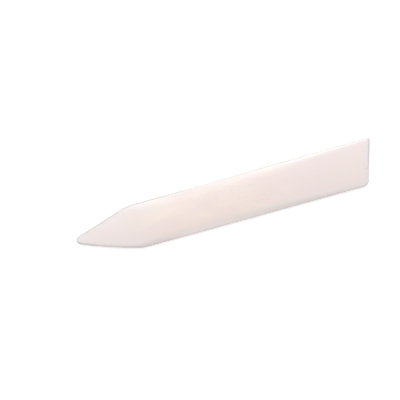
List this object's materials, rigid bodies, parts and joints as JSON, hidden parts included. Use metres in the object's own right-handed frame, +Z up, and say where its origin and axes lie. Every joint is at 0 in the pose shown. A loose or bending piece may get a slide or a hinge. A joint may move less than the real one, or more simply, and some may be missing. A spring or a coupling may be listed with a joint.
{
  "type": "bone folder",
  "caption": "Flat one-piece bone folder for creasing and scoring paper, with an off-centre rounded point, straight parallel sides, bevelled edges, one domed face and a slanted butt.",
  "frame": {"origin": "on the surface that the folder lies on, under the centre of its bounding box", "axes": "+X along the blade from the point to the butt, parallel to the long sides; +Z up, square to the flat lower face and out of the domed upper face; +Y across the blade, towards the side where the point's straight taper and the butt's sharp corner are"},
  "size_m": [0.15, 0.022, 0.003],
  "materials": {
    "bone": "polished natural bone, warm white with a faint pink and cream cast, satin to semi-gloss"
  },
  "bodies": {
    "root": {"folder_blade": "bone"}
  },
  "joints": []
}
